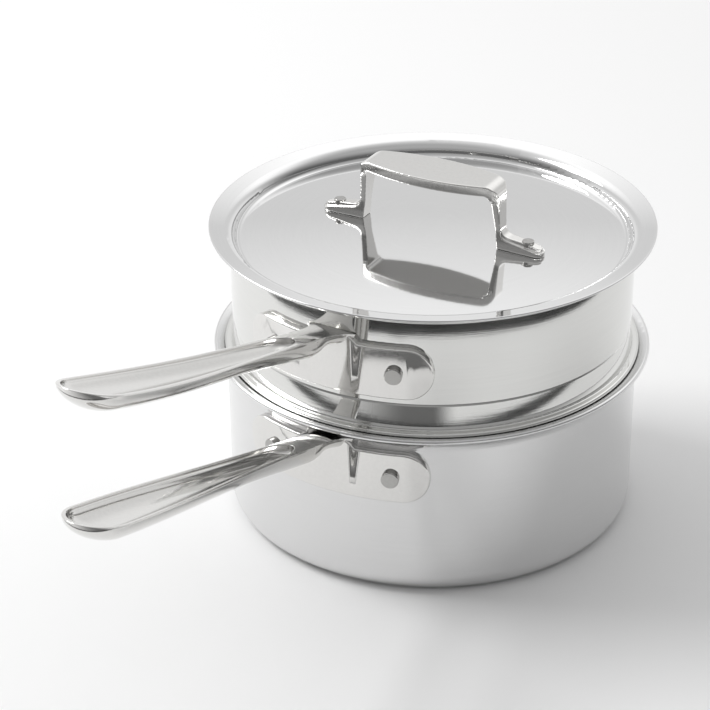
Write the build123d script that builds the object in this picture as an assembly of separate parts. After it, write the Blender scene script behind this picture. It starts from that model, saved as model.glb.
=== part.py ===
from build123d import *
import math
import os

# Double boiler: a clad saucepan, an insert that hangs in its mouth, and a lid.
# Origin at the centre of the saucepan's base, on the surface it stands on.
# Both long handles point along -X, and the lid's handle lies along Y.
# Lengths are in millimetres and angles in degrees.

# Saucepan body: steel skins bonded to both faces of an aluminium core
pan_inner_radius = 101.6
skin_thickness = 0.5
core_thickness = 1.6
pan_rim_height = 90.5
pan_corner = 9.0
pan_flare = 9.4
lip_slope = 10.0

# Insert body: one pressed sheet with a folded bead that sits in the pan's lip.
# Its radii are set back from the pan's inside, and its bead reaches over it.
insert_setback = 0.4
bowl_setback = 4.6
bead_overlap = 3.8
bead_radius = 1.2
insert_sheet = 1.0
insert_bowl_depth = 31.5
insert_corner = 12.0
insert_rise = 61.45
insert_flare = 4.2
insert_lip_land = 4.75
ledge_bend = 3.0
band_flare = 0.7
crease_drop = 48.4
crease_half_height = 0.8
crease_depth = 0.4
crease_step = 0.6
bend_share = 0.8
bead_round_share = 0.98

# Lid: one pressed sheet, its domed middle sunk inside a flat rim. It is set
# back from the insert's inside, and its rim reaches past the insert's lip.
lid_sheet = 1.2
lid_setback = 4.4
lid_overhang = 2.56
lid_dome_rise = 2.0
lid_lower_bend = 3.7
lid_upper_bend = 5.0
lid_wall_slope = 80.0

# Clearances: between pieces that lift apart, and behind a riveted casting
seat_gap = 0.3
casting_gap = 0.1

# Long handle, one casting: a curved flange plate and a scooped grip
plate_height = 26.5
plate_length = 103.4
plate_thickness = 3.5
plate_edge = 0.9
shoulder_length = 29.0
shoulder_top_length = 21.0
shoulder_rise = 17.0
shoulder_bend = 3.0
handle_reach = 201.6
handle_slope = 16.7
handle_top_rise = 18.2
pan_tip_lift = 0.0
insert_tip_lift = 5.0
lift_start_share = 0.49
grip_width = 29.3
grip_depth = 10.4
grip_end = 17.0
grip_crown = 0.6
rim_width = 1.9
scoop_start = 36.0
scoop_run = 14.0
scoop_depth = 6.4
pan_handle_drop = 23.3
insert_handle_drop = 30.6

# Rivets of the long handles, each set back from its end of the plate
rivet_setback = 19.0
rivet_shank_radius = 2.0
rivet_head_radius = 4.3
rivet_head_height = 2.4
rivet_tail_radius = 4.2
rivet_tail_height = 1.6
rivet_edge = 0.5
rivet_tail_edge = 1.0

# Lid handle, one casting: a bridge on two feet, each with a raised tongue
bridge_rise = 33.3
bridge_length = 76.4
grip_plate = 5.0
lid_grip_width = 26.8
lid_grip_end_width = 14.4
lid_grip_end_bow = 3.2
leg_thickness = 3.8
leg_root_offset = 1.3
leg_root_thickness = 1.9
leg_width = 11.5
leg_root_width = 7.2
leg_root_height = 9.0
bridge_outer_bend = 6.5
bridge_inner_bend = 3.0
foot_reach = 61.5
foot_width = 8.2
foot_height = 5.6
foot_tip_height = 1.5
foot_shoulder_height = 3.6
foot_bend = 5.0
tongue_height = 6.8
tongue_rivet_height = 5.2
tongue_tip_height = 3.0
tongue_width = 6.8
tongue_tip_width = 5.0
tongue_setback = 0.9

# Rivets of the lid handle
lid_rivet_setback = 8.7
lid_rivet_shank_radius = 1.6
lid_rivet_head_radius = 3.0
lid_rivet_head_height = 0.9
lid_rivet_tail_radius = 3.2
lid_rivet_tail_height = 1.2
lid_rivet_edge = 0.4

# Sections of the long grip: how far out, how wide and how deep, as shares of
# the handle's reach, of the grip's width and of the grip's depth
grip_shares = (
    (0.000, 0.90, 0.67),
    (0.008, 0.77, 0.67),
    (0.019, 0.67, 0.67),
    (0.038, 0.58, 0.67),
    (0.060, 0.53, 0.69),
    (0.080, 0.51, 0.82),
    (0.098, 0.51, 1.00),
    (0.120, 0.51, 1.09),
    (0.177, 0.52, 1.07),
    (0.275, 0.56, 0.96),
    (0.375, 0.65, 0.88),
    (0.473, 0.75, 0.87),
    (0.570, 0.83, 0.90),
    (0.670, 0.91, 0.94),
    (0.818, 0.99, 0.99),
    (0.900, 1.00, 1.00),
)
end_shares = (0.20, 0.40, 0.58, 0.74, 0.87, 0.95, 0.99)
scoop_shares = (0.04, 0.20, 0.45, 0.70)
belly_turns = (0, 30, 60, 90, 120, 150, 180)

# Sizes worked out from the ones above
pan_wall = skin_thickness + core_thickness + skin_thickness
pan_radius = pan_inner_radius + pan_wall
pan_flare_centre = pan_inner_radius + pan_flare
pan_handle_height = pan_rim_height - pan_handle_drop
insert_radius = pan_inner_radius - insert_setback
insert_bowl_radius = pan_inner_radius - bowl_setback
bead_reach = pan_inner_radius + bead_overlap
insert_inner_radius = insert_radius - insert_sheet
insert_flare_centre = insert_inner_radius + insert_flare
rivet_span = plate_length - rivet_setback * 2
lid_rivet_place = foot_reach - lid_rivet_setback


def cosine(angle):
    return math.cos(math.radians(angle))


def sine(angle):
    return math.sin(math.radians(angle))


def spot(across, up):
    """A point of a turned profile: its distance from the axis, and its height."""
    return Vector(across, 0, up)


def direction(angle):
    return spot(cosine(angle), sine(angle))


def track(start, heading, moves, offset):
    """The edges of a line that keeps a set distance to the left of a path.

    Each move is a straight (length, 0) or a bend (radius, turn), and left
    turns are positive. Gives the edges, the last point and the last heading.
    """
    point = start + direction(heading + 90) * offset
    edges = []
    for size, turn in moves:
        if turn == 0:
            end = point + direction(heading) * size
            edges.append(Line(point, end))
        else:
            side = math.copysign(1, turn)
            arm = size * side - offset
            centre = point + direction(heading + 90) * arm
            middle = centre - direction(heading + 90 + turn / 2) * arm
            heading = heading + turn
            end = centre - direction(heading + 90) * arm
            edges.append(ThreePointArc(point, middle, end))
        point = end
    return edges, point, heading


def turned_sheet(start, heading, moves, low, high):
    """Turn one ply of a bent sheet round the axis, its outer edge fully round."""
    low_edges, low_end, last = track(start, heading, moves, low)
    high_edges, high_end, last = track(start, heading, moves, high)
    middle = (low_end + high_end) / 2 + direction(last) * ((high - low) / 2)
    edge = ThreePointArc(low_end, middle, high_end)
    closing = Line(low_edges[0] @ 0, high_edges[0] @ 0)
    return revolve(Face(Wire([*low_edges, edge, *high_edges, closing])), Axis.Z)


# Saucepan profile, along its outside: base, corner, wall and flared lip
flare_turn = 90 - lip_slope
pan_lip_rise = (pan_flare - pan_wall / 2) * cosine(lip_slope) + pan_wall / 2
pan_flare_start = pan_rim_height - pan_lip_rise
pan_moves = (
    (pan_radius - pan_corner, 0),
    (pan_corner, 90),
    (pan_flare_start - pan_corner, 0),
    (pan_flare - pan_wall, -flare_turn),
)

# Insert heights, worked up from where its bead rests inside the pan's lip
bead_centre = bead_reach - bead_radius
seat_distance = pan_flare + seat_gap + bead_radius
bead_rise = math.sqrt(seat_distance**2 - (pan_flare_centre - bead_centre) ** 2)
bead_bottom = pan_flare_start + bead_rise - bead_radius
bead_top = bead_bottom + bead_radius * 2
insert_bottom = bead_bottom - insert_bowl_depth
insert_rim_height = bead_top + insert_rise
crease_height = insert_rim_height - crease_drop
insert_handle_height = insert_rim_height - insert_handle_drop
insert_lip_rise = (
    (insert_flare - insert_sheet / 2) * cosine(lip_slope)
    + insert_lip_land * sine(lip_slope)
    + insert_sheet / 2
)
insert_flare_start = insert_rim_height - insert_lip_rise
lip_centre = spot(insert_flare_centre, insert_flare_start)
lip_top = lip_centre + direction(lip_slope + 90) * insert_flare
insert_lip_radius = (
    insert_flare_centre
    - (insert_flare - insert_sheet / 2) * sine(lip_slope)
    + insert_lip_land * cosine(lip_slope)
    + insert_sheet / 2
)

# Lid profile, along its underside: it hangs a seat gap above the insert's lip
lid_middle_radius = insert_inner_radius - lid_setback
lid_radius = insert_lip_radius + lid_overhang
dome_radius = (lid_middle_radius**2 + lid_dome_rise**2) / (lid_dome_rise * 2)
dome_angle = math.degrees(math.asin(lid_middle_radius / dome_radius))
lid_bends = (
    (dome_radius, -dome_angle),
    (lid_lower_bend, dome_angle + lid_wall_slope),
    (lid_upper_bend, lip_slope - lid_wall_slope),
)
flange_start = track(spot(0, 0), 0, lid_bends, 0)[1]
flange_lead = lid_sheet / 2 * (1 - sine(lip_slope))
flange_run = (lid_radius - flange_lead - flange_start.X) / cosine(lip_slope)
lid_moves = (*lid_bends, (flange_run, 0))
lip_fall = (lip_top.X - flange_start.X) * math.tan(math.radians(lip_slope))
lid_bottom = lip_top.Z - lip_fall - flange_start.Z + seat_gap / cosine(lip_slope)
lid_top = lid_bottom + lid_sheet


def radial_rod(radius, inner, outer, angle, height):
    """A round rod along a radius, turned by an angle about the axis."""
    rod = Cylinder(radius, outer - inner, align=(Align.CENTER, Align.CENTER, Align.MIN))
    return Rot(0, 0, angle) * Pos(inner, 0, height) * Rot(0, 90, 0) * rod


def drum(radius, height):
    """A plain drum about the axis that takes in all of a handle's plate."""
    return Pos(0, 0, height) * Cylinder(radius, plate_height * 2)


def plate_face(wall_radius):
    return wall_radius + casting_gap + plate_thickness


def rivet_angle(wall_radius, side):
    """The turn about the axis at which one rivet of a long handle stands."""
    return 180 - side * math.degrees(rivet_span / 2 / plate_face(wall_radius))


def rivet_holes(wall_radius, height):
    inner = wall_radius - rivet_head_radius
    outer = plate_face(wall_radius) + rivet_head_radius
    holes = []
    for side in (-1, 1):
        angle = rivet_angle(wall_radius, side)
        holes.append(radial_rod(rivet_shank_radius, inner, outer, angle, height))
    return holes


def handle_rivet(wall_radius, wall, height, side):
    """A flat round head outside, a shank through both, and a low tail inside."""
    angle = rivet_angle(wall_radius, side)
    face = plate_face(wall_radius)
    inside = wall_radius - wall
    head_end = face + rivet_head_height
    head = radial_rod(rivet_head_radius, face - rivet_head_height, head_end, angle, height)
    head = fillet(outermost_edge(head), rivet_edge) - drum(face, height)
    tail_end = inside - rivet_tail_height
    tail = radial_rod(rivet_tail_radius, tail_end, inside + rivet_tail_height, angle, height)
    tail = fillet(innermost_edge(tail), rivet_tail_edge) & drum(inside, height)
    shank_start = inside - rivet_tail_height / 2
    shank_end = face + rivet_head_height / 2
    shank = radial_rod(rivet_shank_radius, shank_start, shank_end, angle, height)
    return head + shank + tail


def edges_outwards(rod):
    circles = rod.edges().filter_by(GeomType.CIRCLE)
    return circles.sort_by(lambda edge: math.hypot(edge.arc_center.X, edge.arc_center.Y))


def outermost_edge(rod):
    return edges_outwards(rod)[-1]


def innermost_edge(rod):
    return edges_outwards(rod)[0]


def grip_section(distance, width, depth, rise, crown):
    """One section of the grip: a half-round belly under a nearly level top."""
    half = width / 2
    belly = [(0, -half * cosine(turn), -depth * sine(turn)) for turn in belly_turns]
    top = ThreePointArc(belly[-1], (0, 0, crown), belly[0])
    return Pos(distance, 0, rise) * Face(Wire([Spline(*belly), top]))


def grip_rise(distance, tip_lift):
    """The height of the grip's top edge above the rivets, at a distance out."""
    run = distance - plate_thickness
    lift_start = handle_reach * lift_start_share
    bent = max(distance - lift_start, 0) / (handle_reach - lift_start)
    return handle_top_rise + run * math.tan(math.radians(handle_slope)) + tip_lift * bent**2


def grip_sizes(distance):
    """The grip's width and depth at a distance out from the wall."""
    for near, far in zip(grip_shares, grip_shares[1:]):
        start, end = near[0] * handle_reach, far[0] * handle_reach
        if start <= distance <= end:
            break
    share = min((distance - start) / (end - start), 1)
    width = (near[1] + (far[1] - near[1]) * share) * grip_width
    depth = (near[2] + (far[2] - near[2]) * share) * grip_depth
    return width, depth


def handle_grip(wall_radius, tip_lift):
    """The long grip with its rounded end, before its top is scooped out."""
    sections = []
    for reach_share, width_share, depth_share in grip_shares:
        distance = reach_share * handle_reach
        width = width_share * grip_width
        depth = depth_share * grip_depth
        rise = grip_rise(distance, tip_lift)
        sections.append(grip_section(wall_radius + distance, width, depth, rise, grip_crown))
    for share in end_shares:
        distance = handle_reach - grip_end * (1 - share)
        shrink = math.sqrt(1 - share**2)
        width = grip_width * shrink
        depth = grip_depth * shrink
        crown = grip_crown * shrink
        rise = grip_rise(distance, tip_lift)
        sections.append(grip_section(wall_radius + distance, width, depth, rise, crown))
    return loft(sections)


def handle_scoop(wall_radius, tip_lift):
    """The hollow in the grip's top, shallow at its start and steep at its end."""
    sections = []

    def add(distance, width, depth):
        place = wall_radius + distance
        rise = grip_rise(distance, tip_lift)
        sections.append(grip_section(place, width, depth, rise, scoop_depth))

    for share in scoop_shares:
        distance = scoop_start + scoop_run * share
        spread = math.sqrt(1 - (1 - share) ** 2)
        width = grip_sizes(distance)[0] - rim_width * 2
        add(distance, width * spread, scoop_depth * spread)
    last = handle_reach - rim_width
    for reach_share, width_share, _ in grip_shares:
        distance = reach_share * handle_reach
        if scoop_start + scoop_run <= distance:
            add(distance, width_share * grip_width - rim_width * 2, scoop_depth)
    for share in end_shares:
        shrink = math.sqrt(1 - share**2)
        distance = last - (grip_end - rim_width) * (1 - share)
        add(distance, (grip_width - rim_width * 2) * shrink, scoop_depth * math.sqrt(shrink))
    return loft(sections)


def lies_on_drum(edge, radius):
    """Whether an edge lies on the upright drum of this radius, and so on a plate's face."""
    points = (edge @ 0, edge @ 0.5, edge @ 1)
    return all(math.isclose(math.hypot(point.X, point.Y), radius, rel_tol=1e-4) for point in points)


def flange_plate(wall_radius):
    """The curved plate under the rivets, with fully round ends."""
    face = plate_face(wall_radius)
    end_radius = plate_height / 2
    half_angle = math.degrees((plate_length / 2 - end_radius) / face)
    align = (Align.NONE, Align.NONE, Align.CENTER)
    band = Cylinder(face, plate_height, arc_size=half_angle * 2, align=align)
    plate = Rot(0, 0, -half_angle) * band
    for angle in (-half_angle, half_angle):
        end = radial_rod(end_radius, wall_radius / 2, face * 2, angle, 0)
        plate = plate + (end & drum(face, 0))
    outline = FilletPolyline(
        (-shoulder_length / 2, 0),
        (-shoulder_length / 2, end_radius),
        (-shoulder_top_length / 2, shoulder_rise),
        (shoulder_top_length / 2, shoulder_rise),
        (shoulder_length / 2, end_radius),
        (shoulder_length / 2, 0),
        radius=[0, 0, shoulder_bend, shoulder_bend, 0, 0],
        close=True,
    )
    outline_face = Plane.YZ * Face(Wire(outline.edges()))
    shoulder = extrude(outline_face, face, dir=(1, 0, 0))
    plate = plate + (shoulder & drum(face, 0))
    return fillet([edge for edge in plate.edges() if lies_on_drum(edge, face)], plate_edge)


def long_handle(wall_radius, height, body, tip_lift):
    """Plate and scooped grip in one casting, cut back to clear the body's wall."""
    grip = handle_grip(wall_radius, tip_lift) - handle_scoop(wall_radius, tip_lift)
    casting = Pos(0, 0, height) * Rot(0, 0, 180) * (flange_plate(wall_radius) + grip)
    casting = casting - body
    for hole in rivet_holes(wall_radius, height):
        casting = casting - hole
    return casting


def saucepan_core():
    """The aluminium between the skins, from the base to just inside the lip."""
    outer_skin = skin_thickness + core_thickness
    sheet = turned_sheet(spot(0, 0), 0, pan_moves, skin_thickness, outer_skin)
    for hole in rivet_holes(pan_radius, pan_handle_height):
        sheet = sheet - hole
    return sheet


def saucepan_steel_shell():
    """The steel skins, closed over the core at the edge of the lip."""
    sheet = turned_sheet(spot(0, 0), 0, pan_moves, 0, pan_wall)
    for hole in rivet_holes(pan_radius, pan_handle_height):
        sheet = sheet - hole
    return sheet - saucepan_core()


def saucepan_handle():
    """The handle's casting, kept clear of the wall and of the lip's underside."""
    edges, end, heading = track(spot(0, 0), 0, pan_moves, -casting_gap)
    tip = end + direction(heading) * pan_wall
    top = spot(0, tip.Z)
    outline = Wire([*edges, Line(end, tip), Line(tip, top), Line(top, edges[0] @ 0)])
    body = revolve(Face(outline), Axis.Z)
    return long_handle(pan_radius, pan_handle_height, body, pan_tip_lift)


def insert_wall():
    """The insert below its lip: bowl, ledge, folded bead, crease and wall."""
    bowl_inner = insert_bowl_radius - insert_sheet
    ledge_top = bead_bottom + insert_sheet
    step_radius = insert_radius - crease_step
    groove_radius = step_radius - crease_depth
    crease_low = crease_height - crease_half_height
    crease_high = crease_height + crease_half_height
    corners = (
        (insert_bowl_radius, insert_bottom, insert_corner),
        (insert_bowl_radius, bead_bottom, ledge_bend - insert_sheet),
        (bead_reach, bead_bottom, bead_radius * bead_round_share),
        (bead_reach, bead_top, bead_radius * bead_round_share),
        (insert_radius + band_flare, bead_top, insert_sheet * bend_share),
        (step_radius, crease_low, 0),
        (groove_radius, crease_height, 0),
        (insert_radius, crease_high, 0),
        (insert_radius, insert_flare_start, 0),
        (insert_inner_radius, insert_flare_start, 0),
        (insert_inner_radius, crease_high, 0),
        (groove_radius - insert_sheet, crease_height, 0),
        (step_radius - insert_sheet, crease_low, 0),
        (insert_inner_radius + band_flare, ledge_top, insert_sheet * bend_share),
        (bowl_inner, ledge_top, ledge_bend),
        (bowl_inner, insert_bottom + insert_sheet, insert_corner - insert_sheet),
    )
    points = [spot(across, up) for across, up, _ in corners]
    bends = [bend for _, _, bend in corners]
    start = spot(0, insert_bottom)
    end = spot(0, insert_bottom + insert_sheet)
    outline = FilletPolyline(start, *points, end, radius=[0, *bends, 0], close=True)
    return revolve(Face(Wire(outline.edges())), Axis.Z)


def insert_body():
    """The whole pressing: its wall, and the flared lip the lid sits on."""
    lip_moves = ((insert_flare - insert_sheet, -flare_turn), (insert_lip_land, 0))
    lip_start = spot(insert_radius, insert_flare_start)
    body = insert_wall() + turned_sheet(lip_start, 90, lip_moves, 0, insert_sheet)
    for hole in rivet_holes(insert_radius, insert_handle_height):
        body = body - hole
    return body


def insert_handle():
    """The same casting as the pan's, shaped to the insert's wall."""
    body = drum(insert_radius + casting_gap, insert_handle_height)
    return long_handle(insert_radius, insert_handle_height, body, insert_tip_lift)


def plain_lid():
    return turned_sheet(spot(0, lid_bottom), 0, lid_moves, 0, lid_sheet)


def lid_rivet_shank(side):
    """The shank of one lid rivet, which is also the shape of its hole."""
    start = -lid_sheet - lid_rivet_tail_height
    length = tongue_rivet_height + lid_rivet_head_height / 2 - start
    align = (Align.CENTER, Align.CENTER, Align.MIN)
    shank = Cylinder(lid_rivet_shank_radius, length, align=align)
    return Pos(0, side * lid_rivet_place, lid_top + start) * shank


def lid_shell():
    """The lid's one pressing, with a hole under each foot of its handle."""
    shell = plain_lid()
    for side in (-1, 1):
        shell = shell - lid_rivet_shank(side)
    return shell


def leg_line(height):
    """How far out the leg's outer face is, at a height above the lid."""
    return bridge_length / 2 + leg_root_offset * (bridge_rise - height) / bridge_rise


def bridge_side():
    """The handle's side view: the grip, its legs, and the feet's lower step."""
    under = bridge_rise - grip_plate
    inside = bridge_length / 2 - leg_thickness
    root_inside = leg_line(-lid_dome_rise) - leg_root_thickness
    outside = (
        (foot_reach, -lid_dome_rise, 0),
        (foot_reach, foot_tip_height, 0),
        (leg_line(foot_height), foot_height, foot_bend),
        (bridge_length / 2, bridge_rise, bridge_outer_bend),
    )
    within = (
        (inside, under, bridge_inner_bend),
        (root_inside, -lid_dome_rise, 0),
    )
    far_outside = [(-along, up, bend) for along, up, bend in reversed(outside)]
    far_within = [(-along, up, bend) for along, up, bend in reversed(within)]
    return [*outside, *far_outside, *far_within, *within]


def side_block(corners, width):
    """A side outline, along Y and up, made into a block of a set width."""
    points = [(along, up) for along, up, _ in corners]
    outline = FilletPolyline(*points, radius=[bend for _, _, bend in corners], close=True)
    face = Plane.YZ * Face(Wire(outline.edges()))
    return extrude(face, width / 2, both=True)


def tall(face):
    """A plan face, made as tall as the whole bridge and well below the lid."""
    return extrude(face, bridge_rise * 2, both=True)


def foot_plan(width, tip_width, reach):
    """One foot seen from above, from the leg's root to its round tip."""
    root = leg_line(-lid_dome_rise) - leg_root_thickness
    radius = tip_width / 2
    last = reach - radius
    outline = Wire([
        Line((width / 2, root), (radius, last)),
        ThreePointArc((radius, last), (0, reach), (-radius, last)),
        Line((-radius, last), (-width / 2, root)),
        Line((-width / 2, root), (width / 2, root)),
    ])
    return Face(outline)


def leaf_plan():
    """The grip's leaf shape seen from above, as long as its legs are apart."""
    end = bridge_length / 2 + leg_root_offset
    wide = lid_grip_width / 2
    narrow = lid_grip_end_width / 2
    last = end - lid_grip_end_bow
    outline = Wire([
        ThreePointArc((narrow, -last), (wide, 0), (narrow, last)),
        ThreePointArc((narrow, last), (0, end), (-narrow, last)),
        ThreePointArc((-narrow, last), (-wide, 0), (-narrow, -last)),
        ThreePointArc((-narrow, -last), (0, -end), (narrow, -last)),
    ])
    return Face(outline)


def leg_block():
    """The handle seen from its ends: narrow above the feet, wide at the grip."""
    under = bridge_rise - grip_plate
    shoulder = under - bridge_inner_bend
    half = (
        (foot_width / 2, -lid_dome_rise, 0),
        (foot_width / 2, foot_shoulder_height, bridge_inner_bend),
        (leg_root_width / 2, leg_root_height, foot_bend),
        (leg_width / 2, shoulder, bridge_inner_bend),
        (lid_grip_width / 2, under, 0),
        (lid_grip_width / 2, bridge_rise, 0),
    )
    corners = [*half, *[(-across, up, bend) for across, up, bend in reversed(half)]]
    points = [(across, up) for across, up, _ in corners]
    outline = FilletPolyline(*points, radius=[bend for _, _, bend in corners], close=True)
    face = Plane.XZ * Face(Wire(outline.edges()))
    return extrude(face, bridge_length, both=True)


def foot_tongue():
    """The raised tongue on the foot at +Y, which the rivet's head sits on."""
    root = leg_line(-lid_dome_rise) - leg_root_thickness
    top = leg_root_height + foot_bend
    corners = (
        (root, -lid_dome_rise, 0),
        (root, leg_root_height, 0),
        (leg_line(top) - leg_root_thickness, top, 0),
        (leg_line(top), top, 0),
        (leg_line(tongue_height), tongue_height, foot_bend),
        (lid_rivet_place, tongue_rivet_height, foot_bend),
        (foot_reach, tongue_tip_height, 0),
        (foot_reach, -lid_dome_rise, 0),
    )
    plan = foot_plan(tongue_width, tongue_tip_width, foot_reach - tongue_setback)
    return side_block(corners, foot_width) & tall(plan)


def plain_lid_handle():
    """The bridge and its feet, before the rivet holes are made."""
    foot = tall(foot_plan(foot_width, foot_width, foot_reach))
    turn = Rot(0, 0, 180)
    plan = tall(leaf_plan()) + foot + turn * foot
    tongue = foot_tongue()
    bridge = side_block(bridge_side(), lid_grip_width) & plan & leg_block()
    handle = Pos(0, 0, lid_top) * (bridge + tongue + turn * tongue)
    start = spot(0, lid_bottom)
    edges, end, _ = track(start, 0, lid_moves[:1], lid_sheet + casting_gap)
    low = spot(0, end.Z)
    dome = revolve(Face(Wire([*edges, Line(end, low), Line(low, edges[0] @ 0)])), Axis.Z)
    return handle - dome - below(end.Z)


def below(height):
    """All the space under a height that the lid handle's block could reach."""
    align = (Align.CENTER, Align.CENTER, Align.MAX)
    return Pos(0, 0, height) * Cylinder(lid_radius, bridge_rise, align=align)


def lid_handle():
    """The lid handle's casting with its two rivet holes."""
    handle = plain_lid_handle()
    for side in (-1, 1):
        handle = handle - lid_rivet_shank(side)
    return handle


def lid_rivet(side):
    """A low head on the tongue, a shank, and a domed tail under the lid."""
    align = (Align.CENTER, Align.CENTER, Align.MIN)
    head = Cylinder(lid_rivet_head_radius, lid_rivet_head_height * 3, align=align)
    head = fillet(head.edges().filter_by(GeomType.CIRCLE).sort_by(Axis.Z)[-1], lid_rivet_edge)
    head_start = lid_top + tongue_rivet_height - lid_rivet_head_height * 2
    head = Pos(0, side * lid_rivet_place, head_start) * head - plain_lid_handle()
    tail = Cylinder(lid_rivet_tail_radius, lid_rivet_tail_height + lid_sheet * 2, align=align)
    tail = fillet(tail.edges().filter_by(GeomType.CIRCLE).sort_by(Axis.Z)[0], lid_rivet_edge)
    tail_start = lid_bottom - lid_dome_rise / 2 - lid_rivet_tail_height / 2
    tail = Pos(0, side * lid_rivet_place, tail_start) * tail - plain_lid()
    tail = tail.solids().sort_by(Axis.Z)[0]
    return head + lid_rivet_shank(side) + tail


parts = {
    "saucepan_steel_shell": saucepan_steel_shell(),
    "saucepan_aluminium_core": saucepan_core(),
    "saucepan_handle": saucepan_handle(),
    "saucepan_rivet_left": handle_rivet(pan_radius, pan_wall, pan_handle_height, 1),
    "saucepan_rivet_right": handle_rivet(pan_radius, pan_wall, pan_handle_height, -1),
    "insert_body": insert_body(),
    "insert_handle": insert_handle(),
    "insert_rivet_left": handle_rivet(insert_radius, insert_sheet, insert_handle_height, 1),
    "insert_rivet_right": handle_rivet(insert_radius, insert_sheet, insert_handle_height, -1),
    "lid_shell": lid_shell(),
    "lid_handle": lid_handle(),
    "lid_rivet_left": lid_rivet(-1),
    "lid_rivet_right": lid_rivet(1),
}
os.makedirs("parts", exist_ok=True)
for name, part in parts.items():
    export_step(part, f"parts/{name}.step")
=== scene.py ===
import math

import bmesh
import bpy
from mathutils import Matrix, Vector


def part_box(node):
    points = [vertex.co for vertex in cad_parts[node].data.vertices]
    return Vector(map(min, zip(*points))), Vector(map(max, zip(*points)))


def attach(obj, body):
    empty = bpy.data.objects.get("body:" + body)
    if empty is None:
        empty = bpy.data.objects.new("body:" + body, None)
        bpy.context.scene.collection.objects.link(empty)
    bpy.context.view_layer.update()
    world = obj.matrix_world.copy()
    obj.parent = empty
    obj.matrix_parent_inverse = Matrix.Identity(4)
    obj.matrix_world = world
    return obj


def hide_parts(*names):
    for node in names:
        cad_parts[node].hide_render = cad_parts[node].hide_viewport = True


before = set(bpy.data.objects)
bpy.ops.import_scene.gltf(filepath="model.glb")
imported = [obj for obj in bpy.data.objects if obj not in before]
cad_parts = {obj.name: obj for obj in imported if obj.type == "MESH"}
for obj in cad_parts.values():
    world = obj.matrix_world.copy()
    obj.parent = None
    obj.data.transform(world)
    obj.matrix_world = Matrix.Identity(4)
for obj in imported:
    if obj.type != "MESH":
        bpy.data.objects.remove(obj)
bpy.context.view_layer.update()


# The saucepan's core
# A thick sheet of soft aluminium, rolled hot between two thin skins of stainless steel.
# It is drawn into a pan with them and spreads the heat, and only its skins are seen.

def linear(code):
    """Turn an sRGB hex colour into the linear values that a shader takes."""
    shares = [int(code[place:place + 2], 16) / 255 for place in (1, 3, 5)]
    return [share / 12.92 if share <= 0.04045 else ((share + 0.055) / 1.055) ** 2.4
            for share in shares] + [1]


def add(tree, kind, settings, links={}):
    """Add a node to a tree, with its settings and with what feeds its sockets."""
    node = tree.nodes.new(kind)
    for name, value in settings.items():
        if isinstance(name, str) and hasattr(node, name):
            setattr(node, name, value)
        else:
            node.inputs[name].default_value = value
    for name, source in links.items():
        tree.links.new(source, node.inputs[name])
    return node


def blank_material(name):
    """Start a material with an empty tree and its output."""
    material = bpy.data.materials.new(name)
    material.use_nodes = True
    material.node_tree.nodes.clear()
    return material, material.node_tree


def coat(node_name, material):
    """Give a solid of the frame its finish."""
    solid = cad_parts[node_name]
    solid.data.materials.clear()
    solid.data.materials.append(material)
    return solid


# Rolled aluminium: a soft grey metal with a cloudy matt surface, as the rolls leave it.
rolled_aluminium, tree = blank_material("rolled_aluminium")
place = add(tree, "ShaderNodeTexCoord", {})
cloud_size = 0.006
clouds = add(tree, "ShaderNodeTexNoise", {"Scale": 1 / cloud_size, "Detail": 4},
             {"Vector": place.outputs["Object"]})
tint = add(tree, "ShaderNodeMix",
           {"data_type": "RGBA", 6: linear("#C9CACB"), 7: linear("#D8D9DA")},
           {0: clouds.outputs["Fac"]})
matt = add(tree, "ShaderNodeMapRange", {"To Min": 0.38, "To Max": 0.5},
           {"Value": clouds.outputs["Fac"]})
shader = add(tree, "ShaderNodeBsdfPrincipled", {"Metallic": 1},
             {"Base Color": tint.outputs[2], "Roughness": matt.outputs["Result"]})
add(tree, "ShaderNodeOutputMaterial", {}, {"Surface": shader.outputs[0]})
coat("saucepan_aluminium_core", rolled_aluminium)


# The saucepan's skins
# Two skins of 18/10 stainless steel, bonded to the core and drawn with it in one press.
# The outside is then ground and buffed on a lathe, so every fine line runs round the pan.

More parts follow.
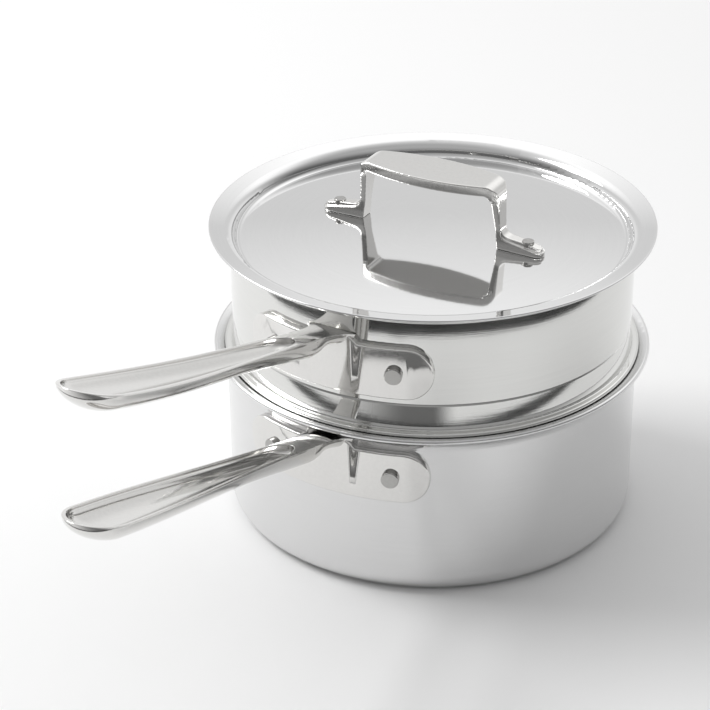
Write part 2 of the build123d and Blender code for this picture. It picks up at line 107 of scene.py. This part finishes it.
def turned_steel(name, pale, deep, gloss, dull, drag, line_gap, line_depth, line_run=0.04):
    """Steel that was polished while it turned: fine lines round the axis, a slight wander
    in gloss and tint between the places where the mop pressed more and less."""
    material, tree = blank_material(name)
    place = add(tree, "ShaderNodeTexCoord", {})
    flat = add(tree, "ShaderNodeVectorMath", {"operation": "MULTIPLY", 1: (1, 1, 0)},
               {0: place.outputs["Object"]})
    around = add(tree, "ShaderNodeVectorMath", {"operation": "NORMALIZE"}, {0: flat.outputs[0]})
    out = add(tree, "ShaderNodeVectorMath", {"operation": "LENGTH"}, {0: flat.outputs[0]})
    parts = add(tree, "ShaderNodeSeparateXYZ", {}, {0: place.outputs["Object"]})
    across = add(tree, "ShaderNodeMath", {"operation": "ADD"},
                 {0: out.outputs["Value"], 1: parts.outputs["Z"]})
    steps = add(tree, "ShaderNodeMath", {"operation": "MULTIPLY", 1: 1 / line_gap},
                {0: across.outputs[0]})
    lift = add(tree, "ShaderNodeCombineXYZ", {}, {"Z": steps.outputs[0]})
    wall_radius = 0.1
    swing = add(tree, "ShaderNodeVectorMath",
                {"operation": "SCALE", "Scale": wall_radius / line_run},
                {0: around.outputs[0]})
    thread = add(tree, "ShaderNodeVectorMath", {"operation": "ADD"},
                 {0: swing.outputs[0], 1: lift.outputs[0]})
    lines = add(tree, "ShaderNodeTexNoise", {"Scale": 1, "Detail": 3, "Roughness": 0.6},
                {"Vector": thread.outputs[0]})
    mop_width = 0.03
    mop = add(tree, "ShaderNodeTexNoise", {"Scale": 1 / mop_width, "Detail": 2},
              {"Vector": place.outputs["Object"]})
    mixed = add(tree, "ShaderNodeMath", {"operation": "ADD"},
                {0: lines.outputs["Fac"], 1: mop.outputs["Fac"]})
    rough = add(tree, "ShaderNodeMapRange",
                {"From Min": 0.7, "From Max": 1.3, "To Min": gloss, "To Max": dull},
                {"Value": mixed.outputs[0]})
    tint = add(tree, "ShaderNodeMix", {"data_type": "RGBA", 6: linear(deep), 7: linear(pale)},
               {0: lines.outputs["Fac"]})
    relief = add(tree, "ShaderNodeBump", {"Strength": 1, "Distance": line_depth},
                 {"Height": lines.outputs["Fac"]})
    run = add(tree, "ShaderNodeTangent", {"direction_type": "RADIAL", "axis": "Z"})
    shader = add(tree, "ShaderNodeBsdfPrincipled",
                 {"Metallic": 1, "Anisotropic": drag, "Anisotropic Rotation": 0.25},
                 {"Base Color": tint.outputs[2], "Roughness": rough.outputs["Result"],
                  "Normal": relief.outputs["Normal"], "Tangent": run.outputs["Tangent"]})
    add(tree, "ShaderNodeOutputMaterial", {}, {"Surface": shader.outputs[0]})
    return material


# Satin buffed steel: it blurs what it mirrors up and down, and not sideways, which draws
# soft upright bands on the wall. Real lines are 0.1 mm apart and these are 0.8 mm.
satin_buffed_steel = turned_steel("satin_buffed_steel", "#E2E2E2", "#DADADA",
                                  gloss=0.16, dull=0.2, drag=0.5,
                                  line_gap=0.0008, line_depth=0.000006)
coat("saucepan_steel_shell", satin_buffed_steel)


# The saucepan's handle
# One investment casting in stainless steel: a broad curved plate, a neck, and a grip with
# a long scoop in its top. It is tumbled and mopped, so every edge is soft and bright.

def cast_steel(name, pale, deep, gloss, dull, ripple, soft_edge, painted_underside_shade=None):
    """Cast steel that was mopped by hand: a slight unevenness and soft cloudy gloss. The
    mop may not reach the underside, which then stays as dull as it was cast. Given an
    underside colour, the faces that look down are painted darker with it as painted shade."""
    material, tree = blank_material(name)
    place = add(tree, "ShaderNodeTexCoord", {})
    hand_width = 0.018
    waves = add(tree, "ShaderNodeTexNoise", {"Scale": 1 / hand_width, "Detail": 1},
                {"Vector": place.outputs["Object"]})
    mop_marks = 0.0015
    marks = add(tree, "ShaderNodeTexNoise", {"Scale": 1 / mop_marks, "Detail": 3},
                {"Vector": place.outputs["Object"]})
    rough = add(tree, "ShaderNodeMapRange",
                {"From Min": 0.3, "From Max": 0.7, "To Min": gloss, "To Max": dull},
                {"Value": marks.outputs["Fac"]})
    tint = add(tree, "ShaderNodeMix", {"data_type": "RGBA", 6: linear(deep), 7: linear(pale)},
               {0: marks.outputs["Fac"]})
    if painted_underside_shade:
        facing = add(tree, "ShaderNodeSeparateXYZ", {}, {0: place.outputs["Normal"]})
        below = add(tree, "ShaderNodeMapRange",
                    {"From Min": -0.95, "From Max": -0.8, "To Min": 1, "To Max": 0},
                    {"Value": facing.outputs["Z"]})
        # Painted shade: faces that look down take the darker underside colour, standing in for
        # the shade beneath the casting.
        tint = add(tree, "ShaderNodeMix", {"data_type": "RGBA", 7: linear(painted_underside_shade)},
                   {0: below.outputs["Result"], 6: tint.outputs[2]})
        as_cast = 0.35
        rough = add(tree, "ShaderNodeMapRange", {"To Max": as_cast},
                    {"Value": below.outputs["Result"], "To Min": rough.outputs["Result"]})
    worn = add(tree, "ShaderNodeBevel", {"samples": 6, "Radius": soft_edge})
    relief = add(tree, "ShaderNodeBump", {"Strength": 1, "Distance": ripple},
                 {"Height": waves.outputs["Fac"], "Normal": worn.outputs["Normal"]})
    shader = add(tree, "ShaderNodeBsdfPrincipled", {"Metallic": 1},
                 {"Base Color": tint.outputs[2], "Roughness": rough.outputs["Result"],
                  "Normal": relief.outputs["Normal"]})
    add(tree, "ShaderNodeOutputMaterial", {}, {"Surface": shader.outputs[0]})
    return material


# Mopped cast steel: bright, with reflections that swim a little over the hand-polished
# curves and break into pale and dark bands along the scoop.
mopped_cast_steel = cast_steel("mopped_cast_steel", "#E4E3E1", "#DAD9D7",
                               gloss=0.08, dull=0.12, ripple=0.000006, soft_edge=0.0006)

# The casting's sizes in metres. Lengths along the handle start at the outside of the wall.
handle_reach = 0.2016
handle_slope = math.radians(16.7)
handle_top_rise = 0.0182
plate_thickness = 0.0035
root_length = 0.026
grip_width = 0.0293
grip_depth = 0.0104
grip_crown = 0.0006
grip_end = 0.017
rim_width = 0.0019
rim_bend = 0.0005
scoop_start = 0.036
scoop_run = 0.014
scoop_depth = 0.0064

# The grip swells toward its end. The places are shares of the handle's reach, and the
# others are shares of the grip's width and depth at its end.
neck_place = 0.12
lean_place = 0.45
full_place = 0.9
bend_place = 0.49
neck_width = 0.51
neck_depth = 1.09
lean_depth = 0.87

# How finely the new skin is drawn.
ring_gap = 0.001
least_half = 0.00001
seam = 0.000005
weld = 0.000001
crisp = math.radians(40)


def turns(last, step):
    """The turns from 0 to the last one in even steps, given in degrees."""
    return [math.radians(turn) for turn in range(0, last + 1, step)]


def ease(near, far, value):
    """Rise smoothly from 0 at the near value to 1 at the far one."""
    share = min(max((value - near) / (far - near), 0), 1)
    return share * share * (3 - 2 * share)


def grip_ring(outer_out, outer_size, scoop_out, scoop_size):
    """A ring of points round the grip, as distance out, across and up: the belly from side
    to side, a rounded rim, the scoop, and the other rim."""
    place = outer_out / handle_reach
    wide = neck_width + (1 - neck_width) * ease(neck_place, full_place, place)
    deep = (neck_depth + (lean_depth - neck_depth) * ease(neck_place, lean_place, place)
            + (1 - lean_depth) * ease(lean_place, full_place, place))
    scoop_half = (grip_width / 2 * wide - rim_width) * scoop_size
    half = grip_width / 2 * wide * outer_size
    depth = grip_depth * deep * outer_size
    bend = rim_bend * outer_size
    lip = min(rim_bend * scoop_size, scoop_half)
    hollow = scoop_depth * math.sqrt(scoop_size)
    belly = [(outer_out, half * math.cos(turn), -bend - (depth - bend) * math.sin(turn))
             for turn in turns(180, 5)]
    outer_bend = [(outer_out, half - bend + bend * math.cos(turn), bend * (math.sin(turn) - 1))
                  for turn in turns(90, 15)]
    inner_bend = [(scoop_out, scoop_half + lip - lip * math.sin(turn), lip * (math.cos(turn) - 1))
                  for turn in turns(90, 15)]
    hollow_line = [(scoop_out, scoop_half * math.cos(turn),
                    -lip - (hollow - lip) * math.sin(turn)) for turn in turns(180, 5)]
    steps = 6
    rim = []
    for step in range(1, steps):
        share = step / steps
        rim.append([near + (far - near) * share
                    for near, far in zip(outer_bend[-1], inner_bend[0])])
    side = outer_bend[1:] + rim + inner_bend
    top = [(out, -across, up) for out, across, up in side] + hollow_line[-2:0:-1] + side[::-1]
    crown = grip_crown * outer_size
    crown_half = max(half, least_half)
    top = [(out, across, up + crown * max(1 - (across / crown_half) ** 2, 0))
           for out, across, up in top]
    return belly + top


def grip_rings():
    """The rings of the grip in order, closer together where the scoop starts and at the tip."""
    rings = []
    out = root_length - ring_gap / 2
    while out < scoop_start:
        rings.append(grip_ring(out, 1, out, 0))
        out += ring_gap
    for turn in turns(85, 5):
        out = scoop_start + scoop_run * (1 - math.cos(turn))
        rings.append(grip_ring(out, 1, out, math.sin(turn)))
    out = scoop_start + scoop_run
    tip = handle_reach - grip_end
    while out < tip:
        rings.append(grip_ring(out, 1, out, 1))
        out += ring_gap
    for turn in turns(90, 3):
        size = max(math.cos(turn), 0)
        sweep = math.sin(turn)
        rings.append(grip_ring(tip + grip_end * sweep, size,
                               tip + (grip_end - rim_width) * sweep, size))
    return rings


def mopped_handle(node_name, body, rivet_name, tip_lift):
    """The frame's own plate and root, carried on by a grip with a smoother skin. The
    rivet gives the casting's height, and the tip is bent up by its lift."""
    wall_radius = -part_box(node_name)[0][0] - handle_reach
    rivet_low, rivet_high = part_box(rivet_name)
    rivet_height = (rivet_low[2] + rivet_high[2]) / 2
    solid = bmesh.new()
    solid.from_mesh(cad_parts[node_name].data)
    bmesh.ops.remove_doubles(solid, verts=solid.verts, dist=weld)
    cut = bmesh.ops.bisect_plane(solid, geom=[*solid.verts, *solid.edges, *solid.faces],
                                 plane_co=(-wall_radius - root_length, 0, 0),
                                 plane_no=(-1, 0, 0), clear_outer=True)
    open_edges = [item for item in cut["geom_cut"] if isinstance(item, bmesh.types.BMEdge)]
    bmesh.ops.holes_fill(solid, edges=open_edges)
    lift_start = handle_reach * bend_place
    loops = []
    for ring in grip_rings():
        loop = []
        for out, across, up in ring:
            bent = max(out - lift_start, 0) / (handle_reach - lift_start)
            rise = (handle_top_rise + (out - plate_thickness) * math.tan(handle_slope)
                    + tip_lift * bent ** 2)
            loop.append(solid.verts.new((-wall_radius - out, across, rivet_height + rise + up)))
        loops.append(loop)
    solid.faces.new(loops[0])
    for near, far in zip(loops, loops[1:]):
        for place in range(len(near)):
            after = (place + 1) % len(near)
            solid.faces.new((near[place], near[after], far[after], far[place]))
    bmesh.ops.remove_doubles(solid, verts=[vert for loop in loops for vert in loop], dist=seam)
    bmesh.ops.dissolve_degenerate(solid, edges=solid.edges, dist=weld)
    bmesh.ops.recalc_face_normals(solid, faces=solid.faces)
    for face in solid.faces:
        face.smooth = True
    for edge in solid.edges:
        edge.smooth = len(edge.link_faces) == 2 and edge.calc_face_angle() < crisp
    skin = bpy.data.meshes.new(node_name + "_casting")
    solid.to_mesh(skin)
    solid.free()
    casting = bpy.data.objects.new(node_name + "_casting", skin)
    bpy.context.collection.objects.link(casting)
    skin.materials.append(mopped_cast_steel)
    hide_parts(node_name)
    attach(casting, body)


mopped_handle("saucepan_handle", "saucepan", "saucepan_rivet_left", tip_lift=0)


# The saucepan's rivets
# Two stainless steel rivets through the plate and the wall. Each head is a low flat disc
# that the press has squared, and each tail is upset against the inside of the wall.

# Pressed rivet steel: plain satin, clearly greyer than the polished pieces round it.
pressed_rivet_steel = cast_steel("pressed_rivet_steel", "#BAB9B7", "#A6A5A3",
                                 gloss=0.14, dull=0.2, ripple=0.00001, soft_edge=0.0003)
for side in ("left", "right"):
    coat("saucepan_rivet_" + side, pressed_rivet_steel)


# The insert's body
# A single sheet of stainless steel, pressed deep. Its bowl hangs in the saucepan's mouth
# by a folded bead that rests on the saucepan's lip, and a shallow crease rings the wall
# above it.

# Bright buffed steel: almost a mirror, with a soft edge to what it shows. Its lines are
# drawn 0.8 mm apart too, and are half as deep.
bright_buffed_steel = turned_steel("bright_buffed_steel", "#E1E1DF", "#D9D9D7",
                                   gloss=0.04, dull=0.06, drag=0.2,
                                   line_gap=0.0008, line_depth=0.000003)
coat("insert_body", bright_buffed_steel)


# The insert's handle
# The same casting as the saucepan's, riveted higher, so that the two handles lie in line
# one over the other.

mopped_handle("insert_handle", "insert", "insert_rivet_left", tip_lift=0.005)


# The insert's rivets
# Two more of the saucepan's rivets, through the insert's plate and its single wall.

for side in ("left", "right"):
    coat("insert_rivet_" + side, pressed_rivet_steel)


# The lid's shell
# A disc of stainless steel, pressed with a gently domed middle that is sunk inside a
# broad flat brim. The middle is polished to a mirror and wiped with a fine abrasive.

# Mirror polished steel: sharp reflections under a faint haze of fine wiping lines, which
# are drawn 0.8 mm apart too.
mirror_polished_steel = turned_steel("mirror_polished_steel", "#E2E2E2", "#DDDDDD",
                                     gloss=0.045, dull=0.065, drag=0.2,
                                     line_gap=0.0008, line_depth=0.0000015)
coat("lid_shell", mirror_polished_steel)


# The lid's handle
# One small casting in stainless steel: a flat oval grip on two legs, each with a raised
# tongue that runs out into a pointed foot. It is mopped bright, apart from its dull
# underside, which is also painted darker as painted shade.

def soften(solid, grain, passes):
    """Round the edges of a casting as tumbling does, over about three times the grain."""
    skin = solid.modifiers.new("even skin", "REMESH")
    skin.mode = "VOXEL"
    skin.voxel_size = grain
    skin.use_smooth_shade = True
    tumbled = solid.modifiers.new("tumbled", "SMOOTH")
    half_way = 0.5
    tumbled.factor = half_way
    tumbled.iterations = passes


# Bright cast steel: sharper than the long handles, with thin edges that flash white and
# a dull underside, painted darker grey there as painted shade, which the lid mirrors.
bright_cast_steel = cast_steel("bright_cast_steel", "#E4E3E1", "#DCDBD9",
                               gloss=0.07, dull=0.1, ripple=0.000006, soft_edge=0.0005,
                               painted_underside_shade="#A5A4A2")
soften(coat("lid_handle", bright_cast_steel), grain=0.0003, passes=6)


# The lid's rivets
# One stainless steel rivet through each foot, with a low flat head on the tongue.

for side in ("left", "right"):
    coat("lid_rivet_" + side, pressed_rivet_steel)


# The studio
# A plain pale slab, a soft lamp high on the left, a bright backdrop and a white panel
# behind, and two dark cards in front, which the polished walls show as their dark bands;
# the near card paints the shade under the lid's brim.

# Pale slab: an even off-white without any sheen, which turns to pure white far away.
floor_size = 8
bpy.ops.mesh.primitive_plane_add(size=floor_size)
floor = bpy.context.object
floor.name = "floor"
pale_slab, tree = blank_material("pale_slab")
shader = add(tree, "ShaderNodeBsdfPrincipled",
             {"Base Color": linear("#F4F4F4"), "Roughness": 0.6, "Specular IOR Level": 0})
place = add(tree, "ShaderNodeTexCoord", {})
reach = add(tree, "ShaderNodeVectorMath", {"operation": "LENGTH"}, {0: place.outputs["Object"]})
beyond = add(tree, "ShaderNodeMapRange",
             {"interpolation_type": "SMOOTHSTEP", "From Min": 0.6, "From Max": 1.8},
             {"Value": reach.outputs["Value"]})
path = add(tree, "ShaderNodeLightPath", {})
seen = add(tree, "ShaderNodeMath", {"operation": "MAXIMUM"},
           {0: path.outputs["Is Camera Ray"], 1: path.outputs["Is Glossy Ray"]})
share = add(tree, "ShaderNodeMath", {"operation": "MULTIPLY"},
            {0: beyond.outputs["Result"], 1: seen.outputs[0]})
white = add(tree, "ShaderNodeEmission", {"Color": linear("#FFFFFF"), "Strength": 1})
slab = add(tree, "ShaderNodeMixShader", {},
           {0: share.outputs[0], 1: shader.outputs[0], 2: white.outputs[0]})
add(tree, "ShaderNodeOutputMaterial", {}, {"Surface": slab.outputs[0]})
floor.data.materials.append(pale_slab)

# The picture's own directions along the slab, to the right and away from the camera.
picture_right = Vector((0.4907, -0.8713, 0))
picture_back = Vector((0.8693, 0.4942, 0))


def dark_card(name, near, far, left_turn, right_turn, material, taper=0):
    """A dark card flat on the slab in front, cut as part of a ring about the pan's axis.
    Only polished metal shows it. Its sides curl in toward the pan, and a taper of 1
    narrows it to a point at both ends."""
    steps = 48
    lift = Vector((0, 0, 0.002))
    curl = 0.08
    rims = []
    for step in range(steps + 1):
        turn = math.radians(left_turn + (right_turn - left_turn) * step / steps)
        ray = picture_right * math.sin(turn) - picture_back * math.cos(turn)
        closer = 1 - curl * (turn / math.pi * 2) ** 2
        from_middle = abs(2 * step / steps - 1)
        inner = near + (far - near) * taper * from_middle ** 4
        rims += [ray * inner * closer + lift, ray * far * closer + lift]
    faces = [(2 * step, 2 * step + 1, 2 * step + 3, 2 * step + 2) for step in range(steps)]
    card_mesh = bpy.data.meshes.new(name)
    card_mesh.from_pydata(rims, [], faces)
    card = bpy.data.objects.new(name, card_mesh)
    bpy.context.collection.objects.link(card)
    card_mesh.materials.append(material)
    card.visible_camera = False
    card.visible_diffuse = False
    card.visible_shadow = False


# Dark felt: a matt near-black card seen only in reflections, which paints the shade under the
# lid's brim as a thin dark line: a painted shade.
brim_shade_felt, tree = blank_material("brim_shade_felt")
felt = add(tree, "ShaderNodeBsdfPrincipled", {"Base Color": linear("#1C1C1C"), "Roughness": 0.9})
add(tree, "ShaderNodeOutputMaterial", {}, {"Surface": felt.outputs[0]})
dark_card("brim_shade_card", 0.366, 0.39, -95, 95, brim_shade_felt, taper=1)

# Faded felt: a matt grey that fades out at both sides, so that the mirrored walls turn
# from dark to pale softly.
faded_felt, tree = blank_material("faded_felt")
place = add(tree, "ShaderNodeTexCoord", {})
ray = add(tree, "ShaderNodeVectorMath", {"operation": "NORMALIZE"}, {0: place.outputs["Object"]})
aside = add(tree, "ShaderNodeVectorMath", {"operation": "DOT_PRODUCT", 1: picture_right},
            {0: ray.outputs[0]})
from_left = add(tree, "ShaderNodeMapRange",
                {"interpolation_type": "SMOOTHSTEP", "From Min": -0.95, "From Max": -0.2},
                {"Value": aside.outputs["Value"]})
to_right = add(tree, "ShaderNodeMapRange",
               {"interpolation_type": "SMOOTHSTEP", "From Min": -0.02, "From Max": 0.2,
                "To Min": 1, "To Max": 0}, {"Value": aside.outputs["Value"]})
cover = add(tree, "ShaderNodeMath", {"operation": "MULTIPLY"},
            {0: from_left.outputs["Result"], 1: to_right.outputs["Result"]})
felt = add(tree, "ShaderNodeBsdfPrincipled", {"Base Color": linear("#6A6A6A"), "Roughness": 0.9})
clear = add(tree, "ShaderNodeBsdfTransparent", {})
veil = add(tree, "ShaderNodeMixShader", {},
           {0: cover.outputs[0], 1: clear.outputs[0], 2: felt.outputs[0]})
add(tree, "ShaderNodeOutputMaterial", {}, {"Surface": veil.outputs[0]})
dark_card("dark_front", 0.39, 1.6, -60, 24, faded_felt)

# The room: a bright backdrop and a panel behind the object, which lean a little to the
# left, and a dimmer side in front. A camera that looks past the slab sees plain white.
world = bpy.data.worlds.new("studio")
bpy.context.scene.world = world
world.use_nodes = True
tree = world.node_tree
tree.nodes.clear()
look = add(tree, "ShaderNodeTexCoord", {})
parts = add(tree, "ShaderNodeSeparateXYZ", {}, {0: look.outputs["Generated"]})
backdrop = add(tree, "ShaderNodeMapRange",
               {"interpolation_type": "SMOOTHSTEP", "From Min": 0.14, "From Max": 0.32,
                "To Min": 0.95, "To Max": 0.8}, {"Value": parts.outputs["Z"]})
panel = add(tree, "ShaderNodeMapRange",
            {"From Min": 0.40, "From Max": 0.62, "To Min": 0, "To Max": 0.55},
            {"Value": parts.outputs["Z"]})
ceiling = add(tree, "ShaderNodeMapRange",
              {"interpolation_type": "SMOOTHSTEP", "From Min": 0.72, "From Max": 0.95,
               "To Min": 0, "To Max": 0.5}, {"Value": parts.outputs["Z"]})
lower = add(tree, "ShaderNodeMath", {"operation": "ADD"},
            {0: backdrop.outputs["Result"], 1: panel.outputs["Result"]})
behind = add(tree, "ShaderNodeMath", {"operation": "SUBTRACT"},
             {0: lower.outputs[0], 1: ceiling.outputs["Result"]})
front = add(tree, "ShaderNodeMapRange",
            {"interpolation_type": "SMOOTHSTEP", "From Min": 0, "From Max": 0.8,
             "To Min": 0.12, "To Max": 0.5}, {"Value": parts.outputs["Z"]})
lean_left = 0.2
facing = add(tree, "ShaderNodeVectorMath",
             {"operation": "DOT_PRODUCT", 1: picture_back - picture_right * lean_left},
             {0: look.outputs["Generated"]})
turn = add(tree, "ShaderNodeMapRange",
           {"interpolation_type": "SMOOTHSTEP", "From Min": -0.35, "From Max": 0.55,
            "To Min": 0, "To Max": 1}, {"Value": facing.outputs["Value"]})
level = add(tree, "ShaderNodeMix", {"data_type": "FLOAT"},
            {0: turn.outputs["Result"], 2: front.outputs["Result"], 3: behind.outputs[0]})
room = add(tree, "ShaderNodeBackground", {"Color": linear("#FFFFFF")},
           {"Strength": level.outputs[0]})
white = add(tree, "ShaderNodeBackground", {"Color": linear("#FFFFFF"), "Strength": 1})
path = add(tree, "ShaderNodeLightPath", {})
either = add(tree, "ShaderNodeMixShader", {},
             {0: path.outputs["Is Camera Ray"], 1: room.outputs[0], 2: white.outputs[0]})
add(tree, "ShaderNodeOutputWorld", {}, {"Surface": either.outputs[0]})

# The softbox: one broad lamp behind and to the left, for the soft shadow on the right.
softbox = bpy.data.lights.new("softbox", "AREA")
softbox.size = 1.2
softbox.energy = 36
lamp = bpy.data.objects.new("softbox", softbox)
lamp_back, lamp_left, lamp_height = 0.6, 1.8, 1.8
lamp.location = picture_back * lamp_back - picture_right * lamp_left + Vector((0, 0, lamp_height))
aim = Vector((0, 0, 0.08))
lamp.rotation_euler = (aim - lamp.location).to_track_quat("-Z", "Y").to_euler()
bpy.context.collection.objects.link(lamp)

# The camera: fitted to the ellipses of the rims and the base, with the handles to the left.
lens = bpy.data.cameras.new("camera")
lens.sensor_width = 36
lens.lens = 115.67
lens.clip_start = 0.05
lens.clip_end = 50
camera = bpy.data.objects.new("camera", lens)
camera.location = (-0.91740, -0.47655, 0.63164)
camera.rotation_euler = [math.radians(turn) for turn in (61.788, 0.429, -60.611)]
bpy.context.collection.objects.link(camera)
bpy.context.scene.camera = camera
bpy.context.scene.view_settings.view_transform = "Standard"
